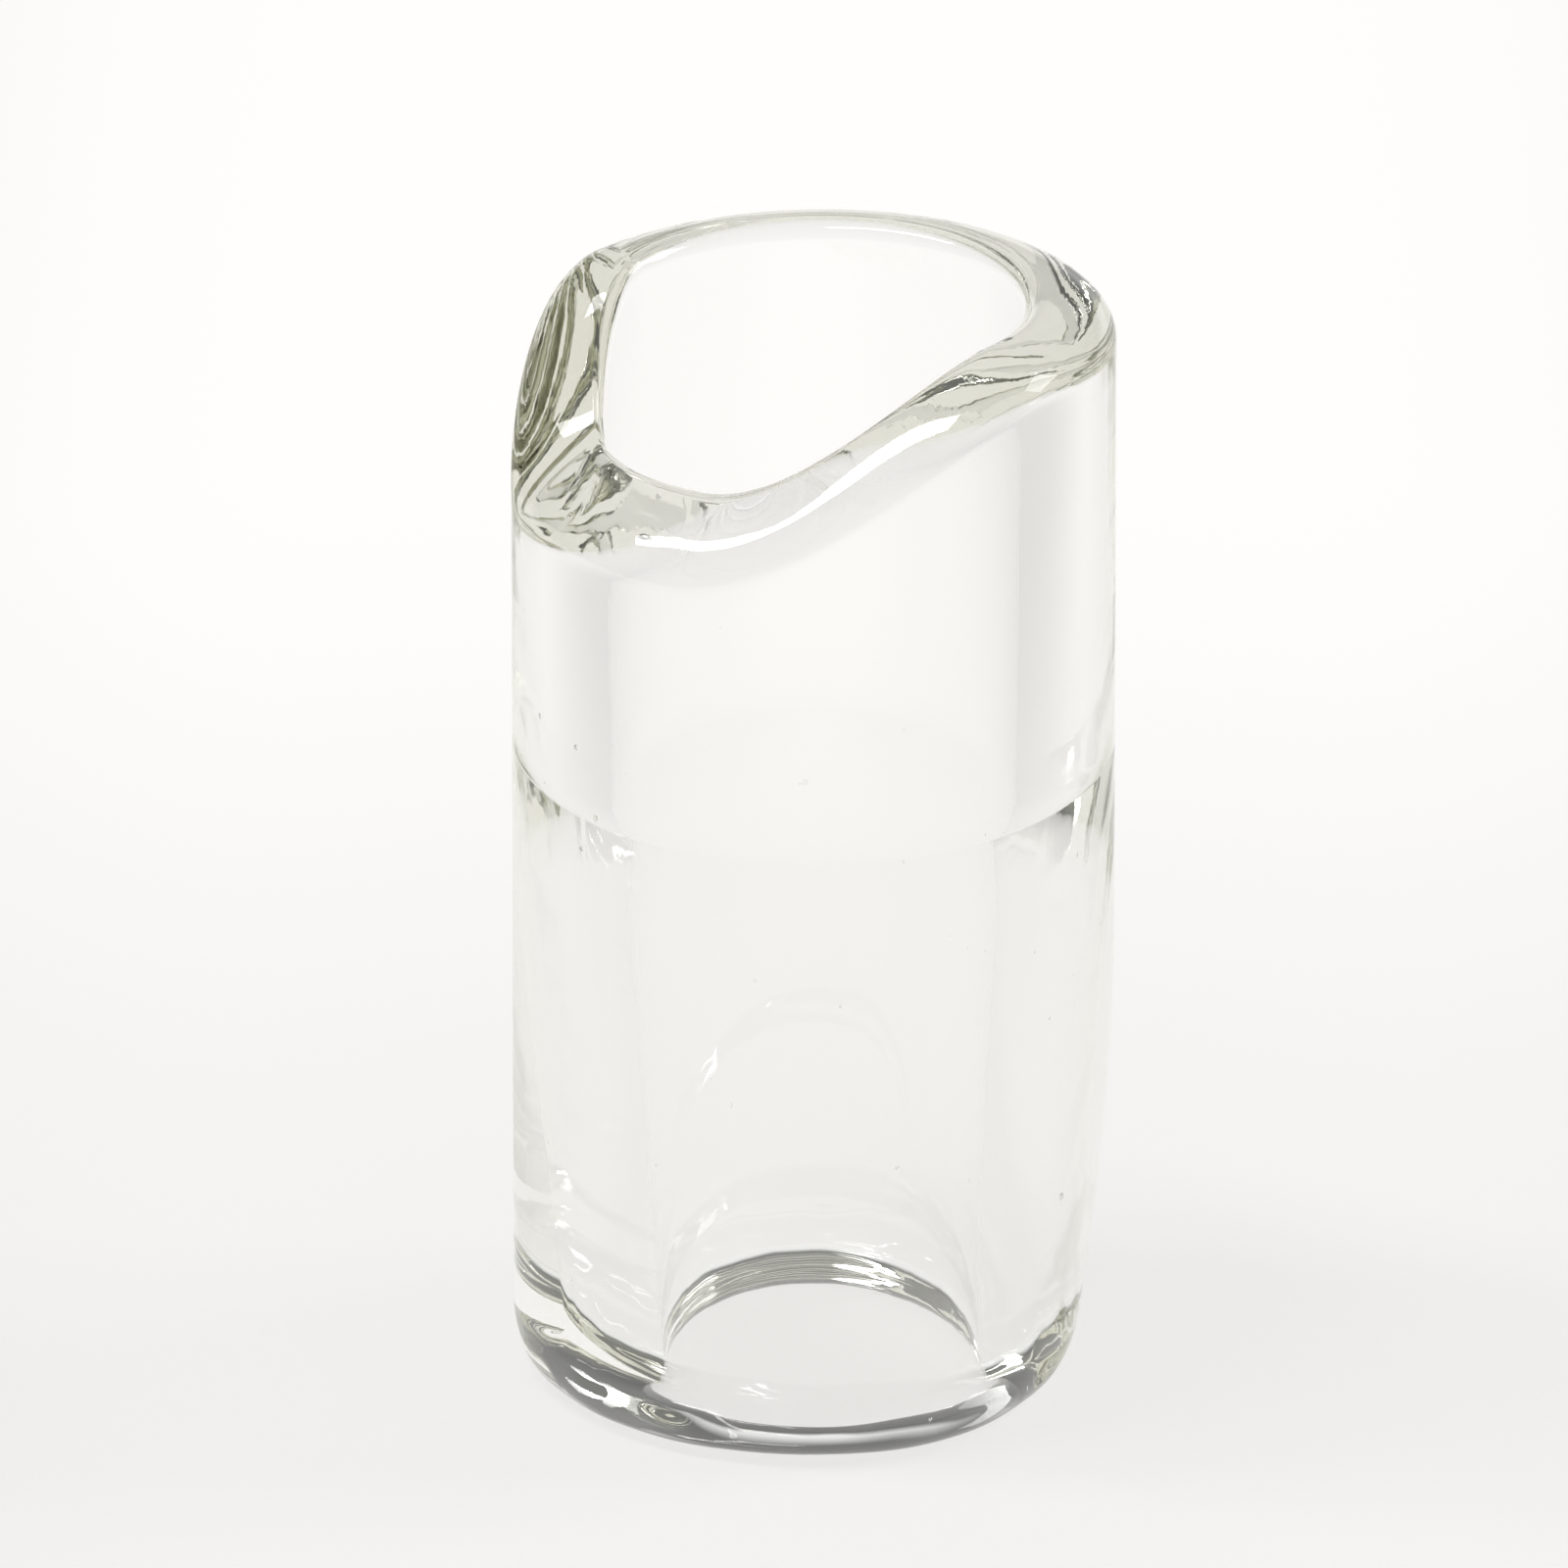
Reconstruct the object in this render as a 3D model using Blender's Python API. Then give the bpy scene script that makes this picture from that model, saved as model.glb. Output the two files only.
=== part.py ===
"""Guitar slide: one moulding of clear, thick-walled glass, open at both ends.

The tube stands on its flat tip ring at z = 0 with its mouth up. The mouth is a wide bore for the finger.
Just above mid-height the bore turns in under a fine edge, and it narrows on to the tip as a cone. The
mouth's rim is fully rounded at the back and dips in one long scoop at the front left, cut for the
neighbouring finger, where the rim slopes outward like a bevel. Low down, the right flank of the outside
leans in a little.

Azimuth is measured around +Z from the front (-Y), positive towards the right side (+X).
"""

from math import cos, pi, radians, sin

import bpy
from mathutils import Vector

# Driving dimensions, in metres and degrees
HEIGHT = 0.0550
OUTER_RADIUS = 0.0145

# Bore: a mouth that narrows a little to its waist, a shoulder under an edge there, and a cone to the tip
MOUTH_BORE_RADIUS = 0.0101
WAIST_RADIUS = 0.0098
SHOULDER_TOP = 0.0303
SHOULDER_FOOT = 0.0260
LOWER_BORE_TOP_RADIUS = 0.0096
LOWER_BORE_TIP_RADIUS = 0.0074

# Rounding of the tip: the outside turns in over a taller curve than the bore does
TIP_ROUND_WIDTH = 0.0021
TIP_ROUND_HEIGHT = 0.0028
BORE_LIP = 0.0016

# Rim: a half-round over the wall, taller on the outside, and a touch lower at the left
RIM_TILT = 0.00045
RIM_HIGH_AZIMUTH = 60.0
RIM_OUTER_DROP = 0.0022
RIM_INNER_DROP = 0.0010
RIM_CREST_SHARE = 0.70
RIM_ROUNDNESS = 1.1

# Scoop in the rim: a level floor, a steep end towards the back and a long one towards the right
SCOOP_DEPTH = 0.0065
SCOOP_FLOOR_AZIMUTH = -52.5
SCOOP_FLOOR_HALF = 22.5
SCOOP_BACK_RAMP = 53.0
SCOOP_FRONT_RAMP = 82.0

# In the scoop the crest lies nearer the bore, and from there the rim slopes further down to the outside
SCOOP_BEVEL = 0.0016
SCOOP_CREST_SHIFT = 0.2
SCOOP_SHARPER_CREST = 0.9

# Flank that leans in, on the right
FLANK_AZIMUTH = 90.0
FLANK_SPAN = 75.0
FLANK_TOP = 0.0220
FLANK_INSET = 0.0021
FLANK_CURVE = 1.9

# How finely the faceted solid is divided
AZIMUTH_STEPS = 72
ARC_STEPS = 4
RIM_STEPS = 10
WALL_STEPS = 9


def remove_all_objects():
    for item in list(bpy.data.objects):
        bpy.data.objects.remove(item, do_unlink=True)


def smooth_step(share):
    """0 to 1 with level ends."""
    share = min(max(share, 0.0), 1.0)
    return share * share * (3.0 - 2.0 * share)


def turned_from(azimuth, centre):
    """Signed angle from centre to azimuth, between -180 and 180 degrees."""
    return (azimuth - centre + 180.0) % 360.0 - 180.0


def scoop_share(azimuth):
    """How deep the scoop is here: 1 at its lowest point and 0 outside it."""
    turn = turned_from(azimuth, SCOOP_FLOOR_AZIMUTH)
    ramp = SCOOP_FRONT_RAMP if turn > 0.0 else SCOOP_BACK_RAMP
    return smooth_step(1.0 - (abs(turn) - SCOOP_FLOOR_HALF) / ramp)


def rim_height(azimuth):
    """Height of the rim's crest."""
    tilt = 0.5 * RIM_TILT * (1.0 - cos(radians(azimuth - RIM_HIGH_AZIMUTH)))
    return HEIGHT - tilt - SCOOP_DEPTH * scoop_share(azimuth)


def flank_inset(azimuth, height):
    """How far the outside leans in at this azimuth and height."""
    aside = abs(turned_from(azimuth, FLANK_AZIMUTH)) / FLANK_SPAN
    around = smooth_step(1.0 - aside)
    below = min(max(1.0 - height / FLANK_TOP, 0.0), 1.0)
    return FLANK_INSET * around * below ** FLANK_CURVE


def outer_wall(azimuth):
    """Outside, from the tip ring's edge up to where the rim starts to round over."""
    points = []
    for step in range(ARC_STEPS + 1):
        angle = 0.5 * pi * step / ARC_STEPS
        radius = OUTER_RADIUS - TIP_ROUND_WIDTH * (1.0 - sin(angle))
        points.append((radius, TIP_ROUND_HEIGHT * (1.0 - cos(angle))))
    top = rim_height(azimuth) - outer_drop(azimuth)
    for step in range(1, WALL_STEPS + 1):
        height = TIP_ROUND_HEIGHT + step / WALL_STEPS * (top - TIP_ROUND_HEIGHT)
        points.append((OUTER_RADIUS, height))
    return [(radius - flank_inset(azimuth, height), height) for radius, height in points]


def outer_drop(azimuth):
    """How far below the crest the rim's rounding meets the outside."""
    return RIM_OUTER_DROP + SCOOP_BEVEL * scoop_share(azimuth)


def bore_radius(height):
    """Radius of the bore: a mouth that narrows a little, a shoulder under an edge, a cone on to the tip."""
    if height >= SHOULDER_TOP:
        share = (height - SHOULDER_TOP) / (HEIGHT - SHOULDER_TOP)
        return WAIST_RADIUS + share * (MOUTH_BORE_RADIUS - WAIST_RADIUS)
    taper = (1.0 - height / SHOULDER_TOP) * (LOWER_BORE_TIP_RADIUS - LOWER_BORE_TOP_RADIUS)
    left = max(1.0 - (SHOULDER_TOP - height) / (SHOULDER_TOP - SHOULDER_FOOT), 0.0)
    return LOWER_BORE_TOP_RADIUS + taper + (WAIST_RADIUS - LOWER_BORE_TOP_RADIUS) * left * left


def rim_arc(azimuth):
    """Rounding over the wall, from the outside across the crest to the mouth's bore."""
    crest = rim_height(azimuth)
    inner_radius = bore_radius(crest - RIM_INNER_DROP)
    scooped = scoop_share(azimuth) ** 0.5
    outer_share = RIM_CREST_SHARE + SCOOP_CREST_SHIFT * scooped
    crest_radius = OUTER_RADIUS - outer_share * (OUTER_RADIUS - inner_radius)
    power = RIM_ROUNDNESS + SCOOP_SHARPER_CREST * scooped
    points = []
    for step in range(1, RIM_STEPS + 1):
        angle = pi * step / RIM_STEPS
        across = cos(angle)
        rise = sin(angle)
        if angle < 0.5 * pi:
            radius = crest_radius + (OUTER_RADIUS - crest_radius) * across ** power
            drop = outer_drop(azimuth) * (1.0 - rise ** RIM_ROUNDNESS)
        else:
            radius = crest_radius + (crest_radius - inner_radius) * across
            drop = RIM_INNER_DROP * (1.0 - rise)
        points.append((radius, crest - drop))
    return points


def bore_wall(azimuth):
    """Inside, from the rim down over the shoulder to the tip ring."""
    top = rim_height(azimuth) - RIM_INNER_DROP
    heights = [top + share * (SHOULDER_TOP - top) for share in (0.35, 0.7, 1.0)]
    for share in (0.25, 0.5, 0.75, 1.0):
        heights.append(SHOULDER_TOP + share * (SHOULDER_FOOT - SHOULDER_TOP))
    for share in (0.25, 0.5, 0.75, 1.0):
        heights.append(SHOULDER_FOOT + share * (BORE_LIP - SHOULDER_FOOT))
    points = [(bore_radius(height), height) for height in heights]
    for step in range(1, ARC_STEPS + 1):
        angle = 0.5 * pi * step / ARC_STEPS
        radius = bore_radius(BORE_LIP) + BORE_LIP * (1.0 - cos(angle))
        points.append((radius, BORE_LIP * (1.0 - sin(angle))))
    return points


def wall_section(azimuth):
    """The whole closed outline of the wall at one azimuth, as radius and height."""
    return outer_wall(azimuth) + rim_arc(azimuth) + bore_wall(azimuth)


def slide_mesh():
    """Skin of all the wall sections, joined around the axis and closed on itself."""
    corners = []
    for turn in range(AZIMUTH_STEPS):
        azimuth = 360.0 * turn / AZIMUTH_STEPS
        across = sin(radians(azimuth))
        depth = -cos(radians(azimuth))
        corners += [Vector((radius * across, radius * depth, height)) for radius, height in wall_section(azimuth)]
    ring = len(corners) // AZIMUTH_STEPS
    faces = []
    for turn in range(AZIMUTH_STEPS):
        here = turn * ring
        there = (turn + 1) % AZIMUTH_STEPS * ring
        for point in range(ring):
            after = (point + 1) % ring
            faces.append((here + point, there + point, there + after, here + after))
    mesh = bpy.data.meshes.new("glass_slide")
    mesh.from_pydata(corners, [], faces)
    mesh.validate()
    mesh.shade_smooth()
    mesh.set_sharp_from_angle(angle=radians(50.0))
    return mesh


def clear_glass():
    """Clear, nearly colourless glass."""
    material = bpy.data.materials.new("clear_glass")
    material.use_nodes = True
    shader = material.node_tree.nodes["Principled BSDF"]
    shader.inputs["Base Color"].default_value = (0.93, 0.95, 0.92, 1.0)
    shader.inputs["Roughness"].default_value = 0.02
    shader.inputs["Metallic"].default_value = 0.0
    shader.inputs["IOR"].default_value = 1.52
    shader.inputs["Transmission Weight"].default_value = 1.0
    return material


def build():
    remove_all_objects()
    slide = bpy.data.objects.new("glass_slide", slide_mesh())
    slide.data.materials.append(clear_glass())
    bpy.context.scene.collection.objects.link(slide)


build()
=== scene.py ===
"""Guitar slide: one moulding of clear, thick-walled glass, standing on its tip on a pale table.

The frame's plain faceted tube is replaced by a fine skin of the same size. The skin is a grid: closed wall
sections, one at each azimuth, joined around the axis. Azimuth is measured in degrees around +Z from the
front (-Y), positive towards the right side (+X).
"""

from math import cos, pi, radians, sin

import bpy
from mathutils import Matrix, Vector


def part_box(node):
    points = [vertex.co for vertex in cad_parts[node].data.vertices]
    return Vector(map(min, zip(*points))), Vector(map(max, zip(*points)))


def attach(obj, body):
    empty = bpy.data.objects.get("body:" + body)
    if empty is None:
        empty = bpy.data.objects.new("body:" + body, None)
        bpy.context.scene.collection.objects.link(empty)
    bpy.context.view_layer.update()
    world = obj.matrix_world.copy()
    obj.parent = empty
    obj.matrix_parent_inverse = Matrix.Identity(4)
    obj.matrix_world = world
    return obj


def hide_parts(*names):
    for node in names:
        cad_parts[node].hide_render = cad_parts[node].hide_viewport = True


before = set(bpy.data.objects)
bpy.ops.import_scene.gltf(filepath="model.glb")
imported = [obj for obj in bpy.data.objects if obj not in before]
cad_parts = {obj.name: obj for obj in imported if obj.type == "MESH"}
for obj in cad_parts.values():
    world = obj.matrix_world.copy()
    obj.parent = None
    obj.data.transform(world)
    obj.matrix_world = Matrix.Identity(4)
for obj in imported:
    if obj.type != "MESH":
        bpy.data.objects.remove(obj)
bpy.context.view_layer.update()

MM = 0.001

# Overall size, from the frame's tube, which stands on its tip ring with its axis on Z
LOW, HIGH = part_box("glass_slide")
HEIGHT = HIGH.z - LOW.z
OUTER_RADIUS = (HIGH.x - LOW.x) / 2.0

# Bore: a mouth that narrows a little to its waist, a shoulder under an edge there, and a cone to the tip
MOUTH_BORE_RADIUS = 10.1 * MM
WAIST_RADIUS = 9.8 * MM
SHOULDER_TOP = 30.3 * MM
SHOULDER_FOOT = 26.0 * MM
LOWER_BORE_TOP_RADIUS = 9.6 * MM
LOWER_BORE_TIP_RADIUS = 7.4 * MM

# Rounding of the tip: the outside turns in over a taller curve than the bore does
TIP_ROUND_WIDTH = 2.1 * MM
TIP_ROUND_HEIGHT = 2.8 * MM
BORE_LIP = 1.6 * MM

# Unevenness of the tip's rounding, and its waves: how many go around, their start in radians, their share
TIP_UNEVENNESS = 0.11
TIP_WAVES = ((3.0, 0.7, 1.0), (7.0, 2.0, 0.6), (16.0, 0.0, 0.4))

# Rim: a half-round over the wall, taller on the outside, and a touch lower at the left
RIM_TILT = 0.45 * MM
RIM_HIGH_AZIMUTH = 60.0
RIM_OUTER_DROP = 2.2 * MM
RIM_INNER_DROP = 1.0 * MM
RIM_CREST_SHARE = 0.70
RIM_ROUNDNESS = 1.1

# Scoop in the rim: a level floor, a steep end towards the back and a long one towards the right
SCOOP_DEPTH = 6.5 * MM
SCOOP_FLOOR_AZIMUTH = -52.5
SCOOP_FLOOR_HALF = 22.5
SCOOP_BACK_RAMP = 53.0
SCOOP_FRONT_RAMP = 82.0

# In the scoop the crest lies nearer the bore, and from there the rim slopes further down to the outside
SCOOP_BEVEL = 1.6 * MM
SCOOP_CREST_SHIFT = 0.2
SCOOP_SHARPER_CREST = 0.9

# Flank that leans in, on the right
FLANK_AZIMUTH = 90.0
FLANK_SPAN = 75.0
FLANK_TOP = 22.0 * MM
FLANK_INSET = 2.1 * MM
FLANK_CURVE = 1.9

# How finely the skin is divided
AZIMUTH_STEPS = 480
ARC_STEPS = 16
RIM_STEPS = 40
WALL_STEPS = 36
MOUTH_STEPS = 18
SHOULDER_STEPS = 24
CONE_STEPS = 24

# Glass: its body. Each colour fades by (1 - cast) times the density for every metre of glass
GLASS_IOR = 1.52
CAST_COLOUR = (0.8, 0.806, 0.71, 1.0)
CAST_DENSITY = 12.0

# Glass: its surface. A scale is in features to the metre, a detail is in octaves of noise, and a speck's
# size is its radius at most, as a share of the space between specks
WOBBLE_SCALE = 170.0
WOBBLE_DETAIL = 2.0
WOBBLE_DEPTH = 0.015 * MM
STRIAE_SCALE = 700.0
STRIAE_DETAIL = 3.0
STRIAE_DEPTH = 0.004 * MM
STRIAE_STRETCH = (1.0, 1.0, 0.12)
SPECK_SCALE = 300.0
SPECK_SIZE = 0.07
SPECK_CORE = 0.6
SPECK_DEPTH = 0.03 * MM
SPECK_ROUGHNESS = 0.4
SMEAR_SCALE = 90.0
SMEAR_DETAIL = 6.0
SMEAR_FROM = 0.5
SMEAR_FULL = 0.75
SMEAR_ROUGHNESS = 0.02

# Table: a wide pale top that glows with painted light, with painted shade to the sides and a painted shadow
# close round the slide
TABLE_HALF = 3.0
TABLE_COLOUR = (0.3, 0.297, 0.291, 1.0)
TABLE_ROUGHNESS = 0.9
PAINTED_LIGHT_COLOUR = (1.0, 0.988, 0.972, 1.0)
# Painted light: the table's glow in the strip, and the lower glow beside it as painted shade
STRIP_PAINTED_LIGHT = 0.84
STRIP_HALF = 24.0 * MM
BESIDE_PAINTED_LIGHT = 0.6
BESIDE_FROM = 108.0 * MM
# Painted shadow round the slide: the glow falls to this share close to it
PAINTED_SHADOW_SHARE = 0.87
PAINTED_SHADOW_FROM = 10.0 * MM
PAINTED_SHADOW_TO = 125.0 * MM

# Surroundings by the height of the direction looked in: a glow at the horizon, dim walls, a pale ceiling
SURROUNDINGS = ((0.08, 0.9), (0.2, 0.12), (0.75, 0.2), (0.95, 0.26))
SURROUNDINGS_BLUE = 0.99

# Soft boxes: where each is, the direction its width runs in, its width, its depth and its power in watts
KEY_LIGHT = ((-0.415, -0.025, 0.97), (-0.8, 0.5, -0.33), 0.77, 0.13, 3.0)
FILL_LIGHT = ((0.8, 0.2, 0.7), (-0.2, 0.8, 0.0), 0.4, 0.4, 2.0)
LAMP_AIM = Vector((0.0, 0.0, 0.03))

# How often light may turn inside the thick glass
GLASS_BOUNCES = 48

# Camera: a long lens in front of the slide, looking down on it. The sensor is in millimetres, as lenses are
CAMERA_ELEVATION = 22.0
CAMERA_DISTANCE = 1.6
CAMERA_SENSOR = 36.0
CAMERA_NEAR = 0.01
CAMERA_FAR = 20.0
VIEW_WIDTH = 75.47 * MM
AIM_HEIGHT = 27.0 * MM
AIM_LEFT = 1.415 * MM
AIM_UP = 2.47 * MM


def smooth_step(share):
    """0 to 1 with level ends."""
    share = min(max(share, 0.0), 1.0)
    return share * share * (3.0 - 2.0 * share)


def turned_from(azimuth, centre):
    """Signed angle from centre to azimuth, between -180 and 180 degrees."""
    return (azimuth - centre + 180.0) % 360.0 - 180.0


def scoop_share(azimuth):
    """How deep the scoop is here: 1 on its floor and 0 outside it."""
    turn = turned_from(azimuth, SCOOP_FLOOR_AZIMUTH)
    ramp = SCOOP_FRONT_RAMP if turn > 0.0 else SCOOP_BACK_RAMP
    return smooth_step(1.0 - (abs(turn) - SCOOP_FLOOR_HALF) / ramp)


def rim_height(azimuth):
    """Height of the rim's crest."""
    tilt = 0.5 * RIM_TILT * (1.0 - cos(radians(azimuth - RIM_HIGH_AZIMUTH)))
    return HEIGHT - tilt - SCOOP_DEPTH * scoop_share(azimuth)


def outer_drop(azimuth):
    """How far below the crest the rim's rounding meets the outside."""
    return RIM_OUTER_DROP + SCOOP_BEVEL * scoop_share(azimuth)


def flank_inset(azimuth, height):
    """How far the outside leans in at this azimuth and height."""
    aside = abs(turned_from(azimuth, FLANK_AZIMUTH)) / FLANK_SPAN
    below = min(max(1.0 - height / FLANK_TOP, 0.0), 1.0)
    return FLANK_INSET * smooth_step(1.0 - aside) * below ** FLANK_CURVE


def hand_made(azimuth):
    """How unevenly the tip was rounded over a flame, as a share of its rounding."""
    turn = radians(azimuth)
    return TIP_UNEVENNESS * sum(share * sin(count * turn + start) for count, start, share in TIP_WAVES)


def bore_radius(height):
    """Radius of the bore: a mouth that narrows a little, a shoulder under an edge, a cone on to the tip."""
    if height >= SHOULDER_TOP:
        share = (height - SHOULDER_TOP) / (HEIGHT - SHOULDER_TOP)
        return WAIST_RADIUS + share * (MOUTH_BORE_RADIUS - WAIST_RADIUS)
    taper = (1.0 - height / SHOULDER_TOP) * (LOWER_BORE_TIP_RADIUS - LOWER_BORE_TOP_RADIUS)
    left = max(1.0 - (SHOULDER_TOP - height) / (SHOULDER_TOP - SHOULDER_FOOT), 0.0)
    return LOWER_BORE_TOP_RADIUS + taper + (WAIST_RADIUS - LOWER_BORE_TOP_RADIUS) * left * left


def outer_wall(azimuth):
    """Outside, from the tip ring's edge up to where the rim starts to round over."""
    points = []
    tip_height = TIP_ROUND_HEIGHT * (1.0 + hand_made(azimuth))
    for step in range(ARC_STEPS + 1):
        angle = 0.5 * pi * step / ARC_STEPS
        radius = OUTER_RADIUS - TIP_ROUND_WIDTH * (1.0 - sin(angle))
        points.append((radius, tip_height * (1.0 - cos(angle))))
    top = rim_height(azimuth) - outer_drop(azimuth)
    for step in range(1, WALL_STEPS + 1):
        points.append((OUTER_RADIUS, tip_height + step / WALL_STEPS * (top - tip_height)))
    return [(radius - flank_inset(azimuth, height), height) for radius, height in points]


def rim_arc(azimuth):
    """Rounding over the wall, from the outside across the crest to the mouth's bore."""
    crest = rim_height(azimuth)
    inner_radius = bore_radius(crest - RIM_INNER_DROP)
    scooped = scoop_share(azimuth) ** 0.5
    outer_share = RIM_CREST_SHARE + SCOOP_CREST_SHIFT * scooped
    crest_radius = OUTER_RADIUS - outer_share * (OUTER_RADIUS - inner_radius)
    power = RIM_ROUNDNESS + SCOOP_SHARPER_CREST * scooped
    points = []
    for step in range(1, RIM_STEPS + 1):
        angle = pi * step / RIM_STEPS
        across = cos(angle)
        rise = sin(angle)
        if angle < 0.5 * pi:
            radius = crest_radius + (OUTER_RADIUS - crest_radius) * across ** power
            drop = outer_drop(azimuth) * (1.0 - rise ** RIM_ROUNDNESS)
        else:
            radius = crest_radius + (crest_radius - inner_radius) * across
            drop = RIM_INNER_DROP * (1.0 - rise)
        points.append((radius, crest - drop))
    return points


def bore_wall(azimuth):
    """Inside, from the rim down over the shoulder to the tip ring."""
    top = rim_height(azimuth) - RIM_INNER_DROP
    heights = [top + step / MOUTH_STEPS * (SHOULDER_TOP - top) for step in range(1, MOUTH_STEPS + 1)]
    for step in range(1, SHOULDER_STEPS + 1):
        heights.append(SHOULDER_TOP + step / SHOULDER_STEPS * (SHOULDER_FOOT - SHOULDER_TOP))
    for step in range(1, CONE_STEPS + 1):
        heights.append(SHOULDER_FOOT + step / CONE_STEPS * (BORE_LIP - SHOULDER_FOOT))
    points = [(bore_radius(height), height) for height in heights]
    for step in range(1, ARC_STEPS + 1):
        angle = 0.5 * pi * step / ARC_STEPS
        radius = bore_radius(BORE_LIP) + BORE_LIP * (1.0 - cos(angle))
        points.append((radius, BORE_LIP * (1.0 - sin(angle))))
    return points


def wall_section(azimuth):
    """The whole closed outline of the wall at one azimuth, as radius and height."""
    return outer_wall(azimuth) + rim_arc(azimuth) + bore_wall(azimuth)


def slide_skin():
    """Skin of all the wall sections, joined around the axis and closed on itself."""
    corners = []
    for turn in range(AZIMUTH_STEPS):
        azimuth = 360.0 * turn / AZIMUTH_STEPS
        across = sin(radians(azimuth))
        depth = -cos(radians(azimuth))
        corners += [(radius * across, radius * depth, height) for radius, height in wall_section(azimuth)]
    ring = len(corners) // AZIMUTH_STEPS
    faces = []
    for turn in range(AZIMUTH_STEPS):
        here = turn * ring
        there = (turn + 1) % AZIMUTH_STEPS * ring
        for point in range(ring):
            after = (point + 1) % ring
            faces.append((here + point, there + point, there + after, here + after))
    mesh = bpy.data.meshes.new("slide_skin")
    mesh.from_pydata(corners, [], faces)
    mesh.validate()
    mesh.shade_smooth()
    return mesh


def math_node(tree, operation, *values):
    """A math node's result. Each value is a socket or a number."""
    node = tree.nodes.new("ShaderNodeMath")
    node.operation = operation
    for socket, value in zip(node.inputs, values):
        if isinstance(value, float):
            socket.default_value = value
        else:
            tree.links.new(value, socket)
    return node.outputs["Value"]


def remapped(tree, value, low, high, to_low, to_high):
    """value, with low to high spread smoothly over to_low to to_high and held there outside."""
    node = tree.nodes.new("ShaderNodeMapRange")
    node.interpolation_type = "SMOOTHSTEP"
    tree.links.new(value, node.inputs["Value"])
    for name, number in (("From Min", low), ("From Max", high), ("To Min", to_low), ("To Max", to_high)):
        node.inputs[name].default_value = number
    return node.outputs["Result"]


def noise(tree, place, scale, detail):
    """Cloudy noise with this many features to the metre."""
    node = tree.nodes.new("ShaderNodeTexNoise")
    node.inputs["Scale"].default_value = scale
    node.inputs["Detail"].default_value = detail
    tree.links.new(place, node.inputs["Vector"])
    return node.outputs["Fac"]


def stretched(tree, place, factors):
    """place, with each axis multiplied by its own factor."""
    node = tree.nodes.new("ShaderNodeVectorMath")
    node.operation = "MULTIPLY"
    node.inputs[1].default_value = factors
    tree.links.new(place, node.inputs[0])
    return node.outputs["Vector"]


def bumped(tree, height, depth, under=None):
    """A normal for a relief of this depth, laid over another if there is one."""
    node = tree.nodes.new("ShaderNodeBump")
    node.inputs["Distance"].default_value = depth
    tree.links.new(height, node.inputs["Height"])
    if under:
        tree.links.new(under, node.inputs["Normal"])
    return node.outputs["Normal"]


def specks(tree, place):
    """Sparse pits and dust of many sizes, 1 in each speck's core and 0 between the specks."""
    cells = tree.nodes.new("ShaderNodeTexVoronoi")
    cells.inputs["Scale"].default_value = SPECK_SCALE
    tree.links.new(place, cells.inputs["Vector"])
    size = math_node(tree, "MULTIPLY", cells.outputs["Color"], SPECK_SIZE)
    near = math_node(tree, "DIVIDE", cells.outputs["Distance"], size)
    return remapped(tree, near, SPECK_CORE, 1.0, 1.0, 0.0)


def roughness(tree, place, speck):
    """Polished glass with faint smears from handling, and dull specks."""
    cloud = noise(tree, place, SMEAR_SCALE, SMEAR_DETAIL)
    smears = remapped(tree, cloud, SMEAR_FROM, SMEAR_FULL, 0.0, SMEAR_ROUGHNESS)
    return math_node(tree, "ADD", smears, math_node(tree, "MULTIPLY", speck, SPECK_ROUGHNESS))


def relief(tree, place, speck):
    """The surface's normal: a fire-polished wobble, fine striae drawn along the tube, and specks."""
    wobble = bumped(tree, noise(tree, place, WOBBLE_SCALE, WOBBLE_DETAIL), WOBBLE_DEPTH)
    striae = noise(tree, stretched(tree, place, STRIAE_STRETCH), STRIAE_SCALE, STRIAE_DETAIL)
    drawn = bumped(tree, striae, STRIAE_DEPTH, wobble)
    return bumped(tree, speck, SPECK_DEPTH, drawn)


def clear_glass():
    """Clear glass, faintly grey-green in its thick parts, with a fire-polished surface and a few specks."""
    material = bpy.data.materials.new("clear_glass")
    material.use_nodes = True
    tree = material.node_tree
    shader = tree.nodes["Principled BSDF"]
    shader.inputs["Base Color"].default_value = (1.0, 1.0, 1.0, 1.0)
    shader.inputs["IOR"].default_value = GLASS_IOR
    shader.inputs["Transmission Weight"].default_value = 1.0
    place = tree.nodes.new("ShaderNodeTexCoord").outputs["Object"]
    speck = specks(tree, place)
    tree.links.new(roughness(tree, place, speck), shader.inputs["Roughness"])
    tree.links.new(relief(tree, place, speck), shader.inputs["Normal"])
    cast = tree.nodes.new("ShaderNodeVolumeAbsorption")
    cast.inputs["Color"].default_value = CAST_COLOUR
    cast.inputs["Density"].default_value = CAST_DENSITY
    tree.links.new(cast.outputs["Volume"], tree.nodes["Material Output"].inputs["Volume"])
    return material


def slide():
    """The fine skin, in place of the frame's tube."""
    piece = bpy.data.objects.new("slide_glass", slide_skin())
    bpy.context.scene.collection.objects.link(piece)
    piece.data.materials.append(clear_glass())
    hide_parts("glass_slide")
    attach(piece, "root")


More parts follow.
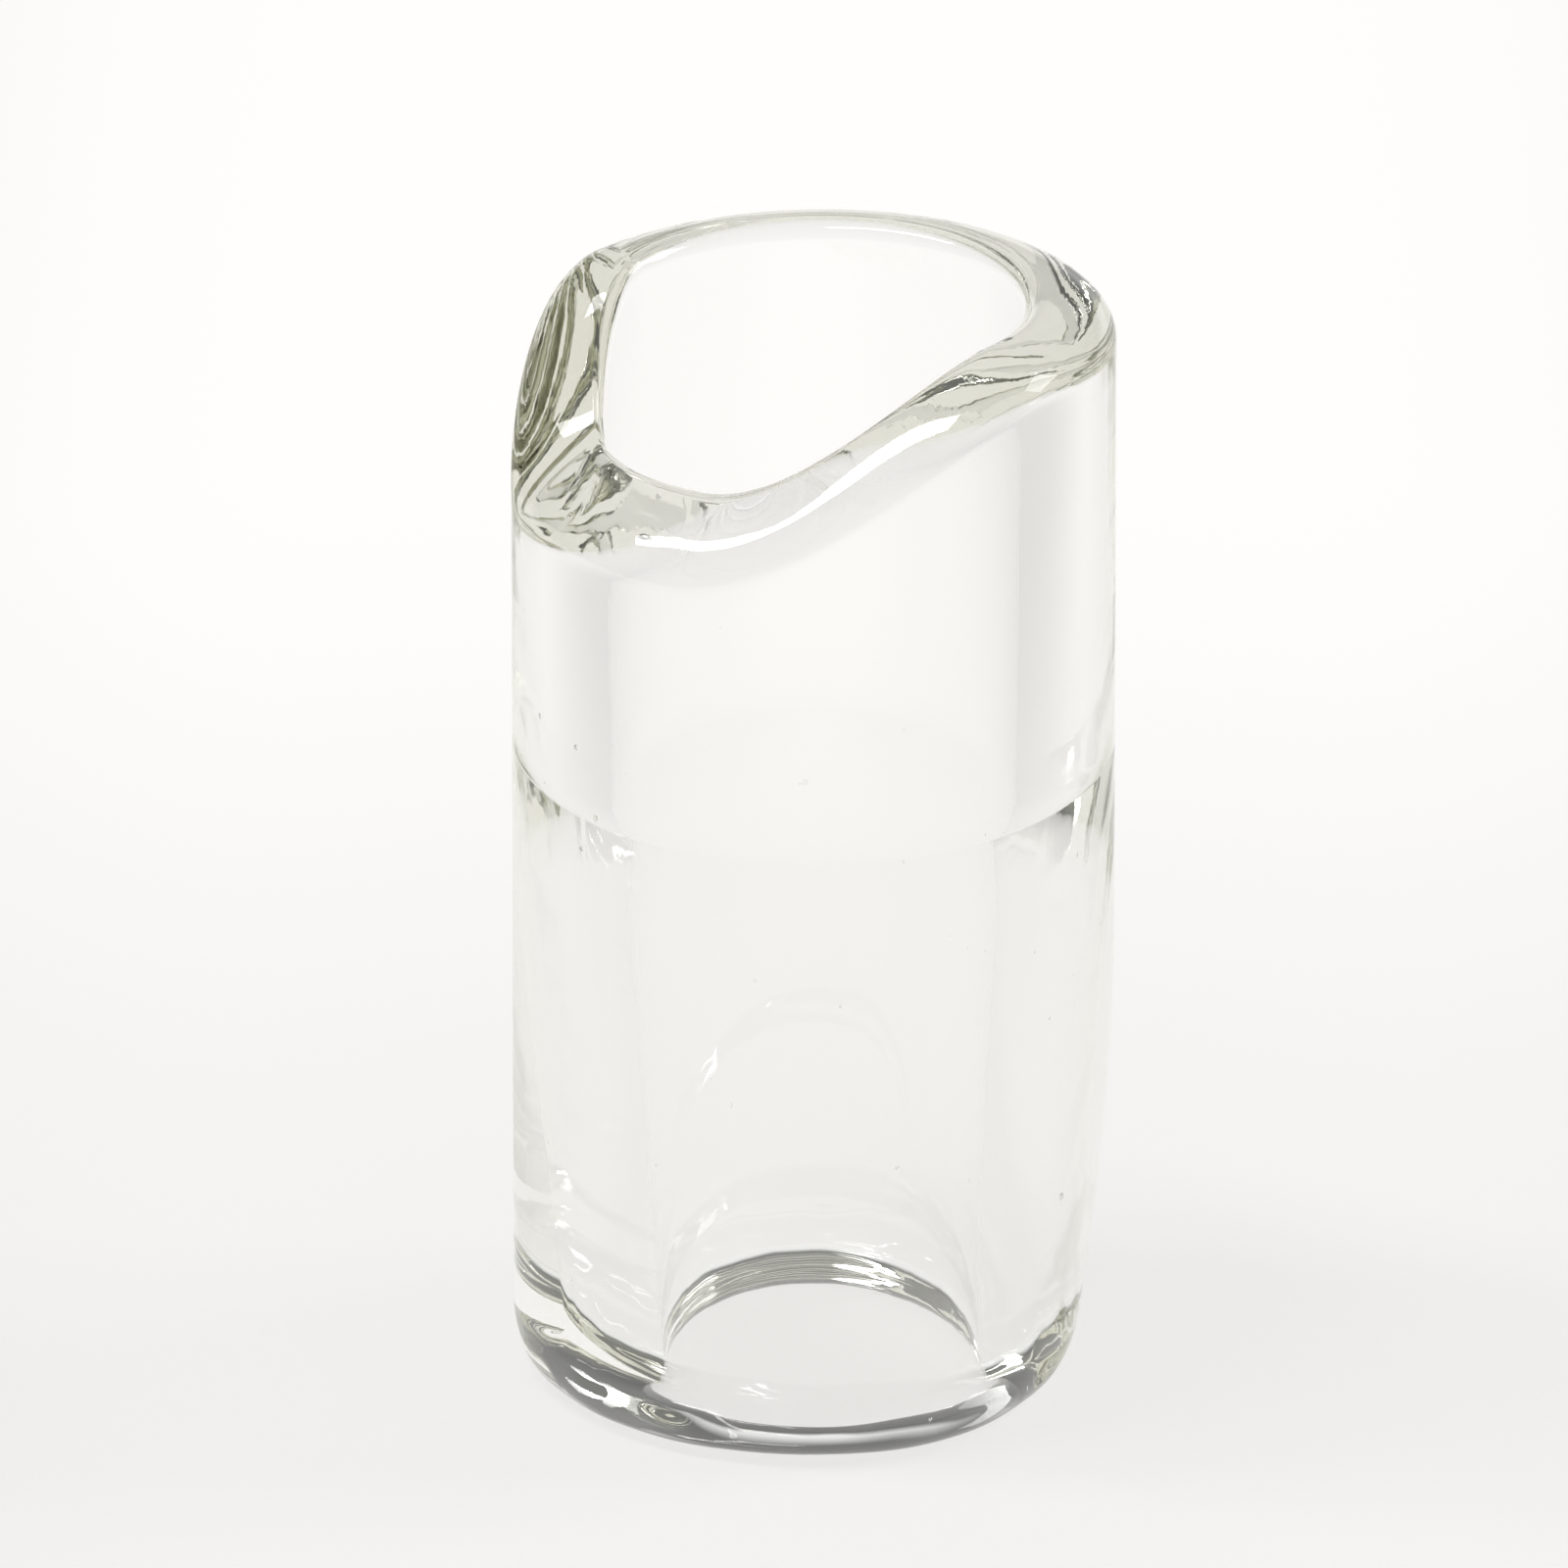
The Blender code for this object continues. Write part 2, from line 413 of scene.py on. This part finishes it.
def painted_table_light(tree):
    """How strongly the table glows, as painted light: most in a strip that runs from front to back, with
    painted shade to the sides and a painted shadow close to the slide.
    """
    place = tree.nodes.new("ShaderNodeTexCoord").outputs["Object"]
    axes = tree.nodes.new("ShaderNodeSeparateXYZ")
    tree.links.new(place, axes.inputs["Vector"])
    aside = math_node(tree, "ABSOLUTE", axes.outputs["X"])
    # Painted shade: the table glows less to the sides
    painted_strip = remapped(tree, aside, STRIP_HALF, BESIDE_FROM, STRIP_PAINTED_LIGHT, BESIDE_PAINTED_LIGHT)
    away = tree.nodes.new("ShaderNodeVectorMath")
    away.operation = "LENGTH"
    tree.links.new(place, away.inputs[0])
    # Painted shadow: the table glows less close round the slide
    painted_shadow = remapped(tree, away.outputs["Value"], PAINTED_SHADOW_FROM, PAINTED_SHADOW_TO, PAINTED_SHADOW_SHARE, 1.0)
    return math_node(tree, "MULTIPLY", painted_strip, painted_shadow)


def table_material():
    """Matt and pale, with no highlight, glowing with painted light."""
    material = bpy.data.materials.new("pale_table")
    material.use_nodes = True
    tree = material.node_tree
    shader = tree.nodes["Principled BSDF"]
    shader.inputs["Base Color"].default_value = TABLE_COLOUR
    shader.inputs["Roughness"].default_value = TABLE_ROUGHNESS
    shader.inputs["Specular IOR Level"].default_value = 0.0
    shader.inputs["Emission Color"].default_value = PAINTED_LIGHT_COLOUR
    tree.links.new(painted_table_light(tree), shader.inputs["Emission Strength"])
    return material


def pale_table():
    """The flat top that the slide stands on."""
    mesh = bpy.data.meshes.new("table")
    corners = [(-1, -1), (1, -1), (1, 1), (-1, 1)]
    mesh.from_pydata([(TABLE_HALF * x, TABLE_HALF * y, 0.0) for x, y in corners], [], [(0, 1, 2, 3)])
    mesh.materials.append(table_material())
    table = bpy.data.objects.new("table", mesh)
    bpy.context.scene.collection.objects.link(table)


def surroundings():
    """The world: a grey for each height of the direction looked in."""
    world = bpy.data.worlds.new("studio")
    bpy.context.scene.world = world
    world.use_nodes = True
    nodes = world.node_tree.nodes
    links = world.node_tree.links
    where = nodes.new("ShaderNodeTexCoord")
    split = nodes.new("ShaderNodeSeparateXYZ")
    ramp = nodes.new("ShaderNodeValToRGB")
    links.new(where.outputs["Generated"], split.inputs["Vector"])
    links.new(split.outputs["Z"], ramp.inputs["Fac"])
    links.new(ramp.outputs["Color"], nodes["Background"].inputs["Color"])
    while len(ramp.color_ramp.elements) < len(SURROUNDINGS):
        ramp.color_ramp.elements.new(0.5)
    for stop, (height, level) in zip(ramp.color_ramp.elements, SURROUNDINGS):
        stop.position = height
        stop.color = (level, level, SURROUNDINGS_BLUE * level, 1.0)


def soft_box(name, place, along, width, depth, power):
    """A soft light at place, facing the slide: width runs as nearly along a direction as it can."""
    light = bpy.data.lights.new(name, "AREA")
    light.shape = "RECTANGLE"
    light.size = width
    light.size_y = depth
    light.energy = power
    holder = bpy.data.objects.new(name, light)
    back = (Vector(place) - LAMP_AIM).normalized()
    side = Vector(along)
    side = (side - back * side.dot(back)).normalized()
    turn = Matrix((side, back.cross(side), back)).transposed()
    holder.matrix_world = Matrix.LocRotScale(Vector(place), turn, None)
    bpy.context.scene.collection.objects.link(holder)


def studio():
    """Grey surroundings, two soft boxes, plain colours and enough bounces for thick glass."""
    surroundings()
    soft_box("key_light", *KEY_LIGHT)
    soft_box("fill_light", *FILL_LIGHT)
    scene = bpy.context.scene
    scene.view_settings.view_transform = "Standard"
    scene.cycles.max_bounces = GLASS_BOUNCES
    scene.cycles.transmission_bounces = GLASS_BOUNCES
    scene.cycles.glossy_bounces = GLASS_BOUNCES


def camera():
    """The scene's camera, with the slide upright and a little right of the middle."""
    data = bpy.data.cameras.new("camera")
    data.sensor_width = CAMERA_SENSOR
    data.lens = data.sensor_width * CAMERA_DISTANCE / VIEW_WIDTH
    data.clip_start = CAMERA_NEAR
    data.clip_end = CAMERA_FAR
    holder = bpy.data.objects.new("camera", data)
    tilt = radians(CAMERA_ELEVATION)
    view_up = Vector((0.0, sin(tilt), cos(tilt)))
    away = Vector((0.0, -cos(tilt), sin(tilt)))
    middle = Vector((0.0, 0.0, AIM_HEIGHT))
    aim = middle + view_up * AIM_UP - Vector((1.0, 0.0, 0.0)) * AIM_LEFT
    holder.location = aim + away * CAMERA_DISTANCE
    holder.rotation_euler = (-away).to_track_quat("-Z", "Y").to_euler()
    bpy.context.scene.collection.objects.link(holder)
    bpy.context.scene.camera = holder


slide()
pale_table()
studio()
camera()
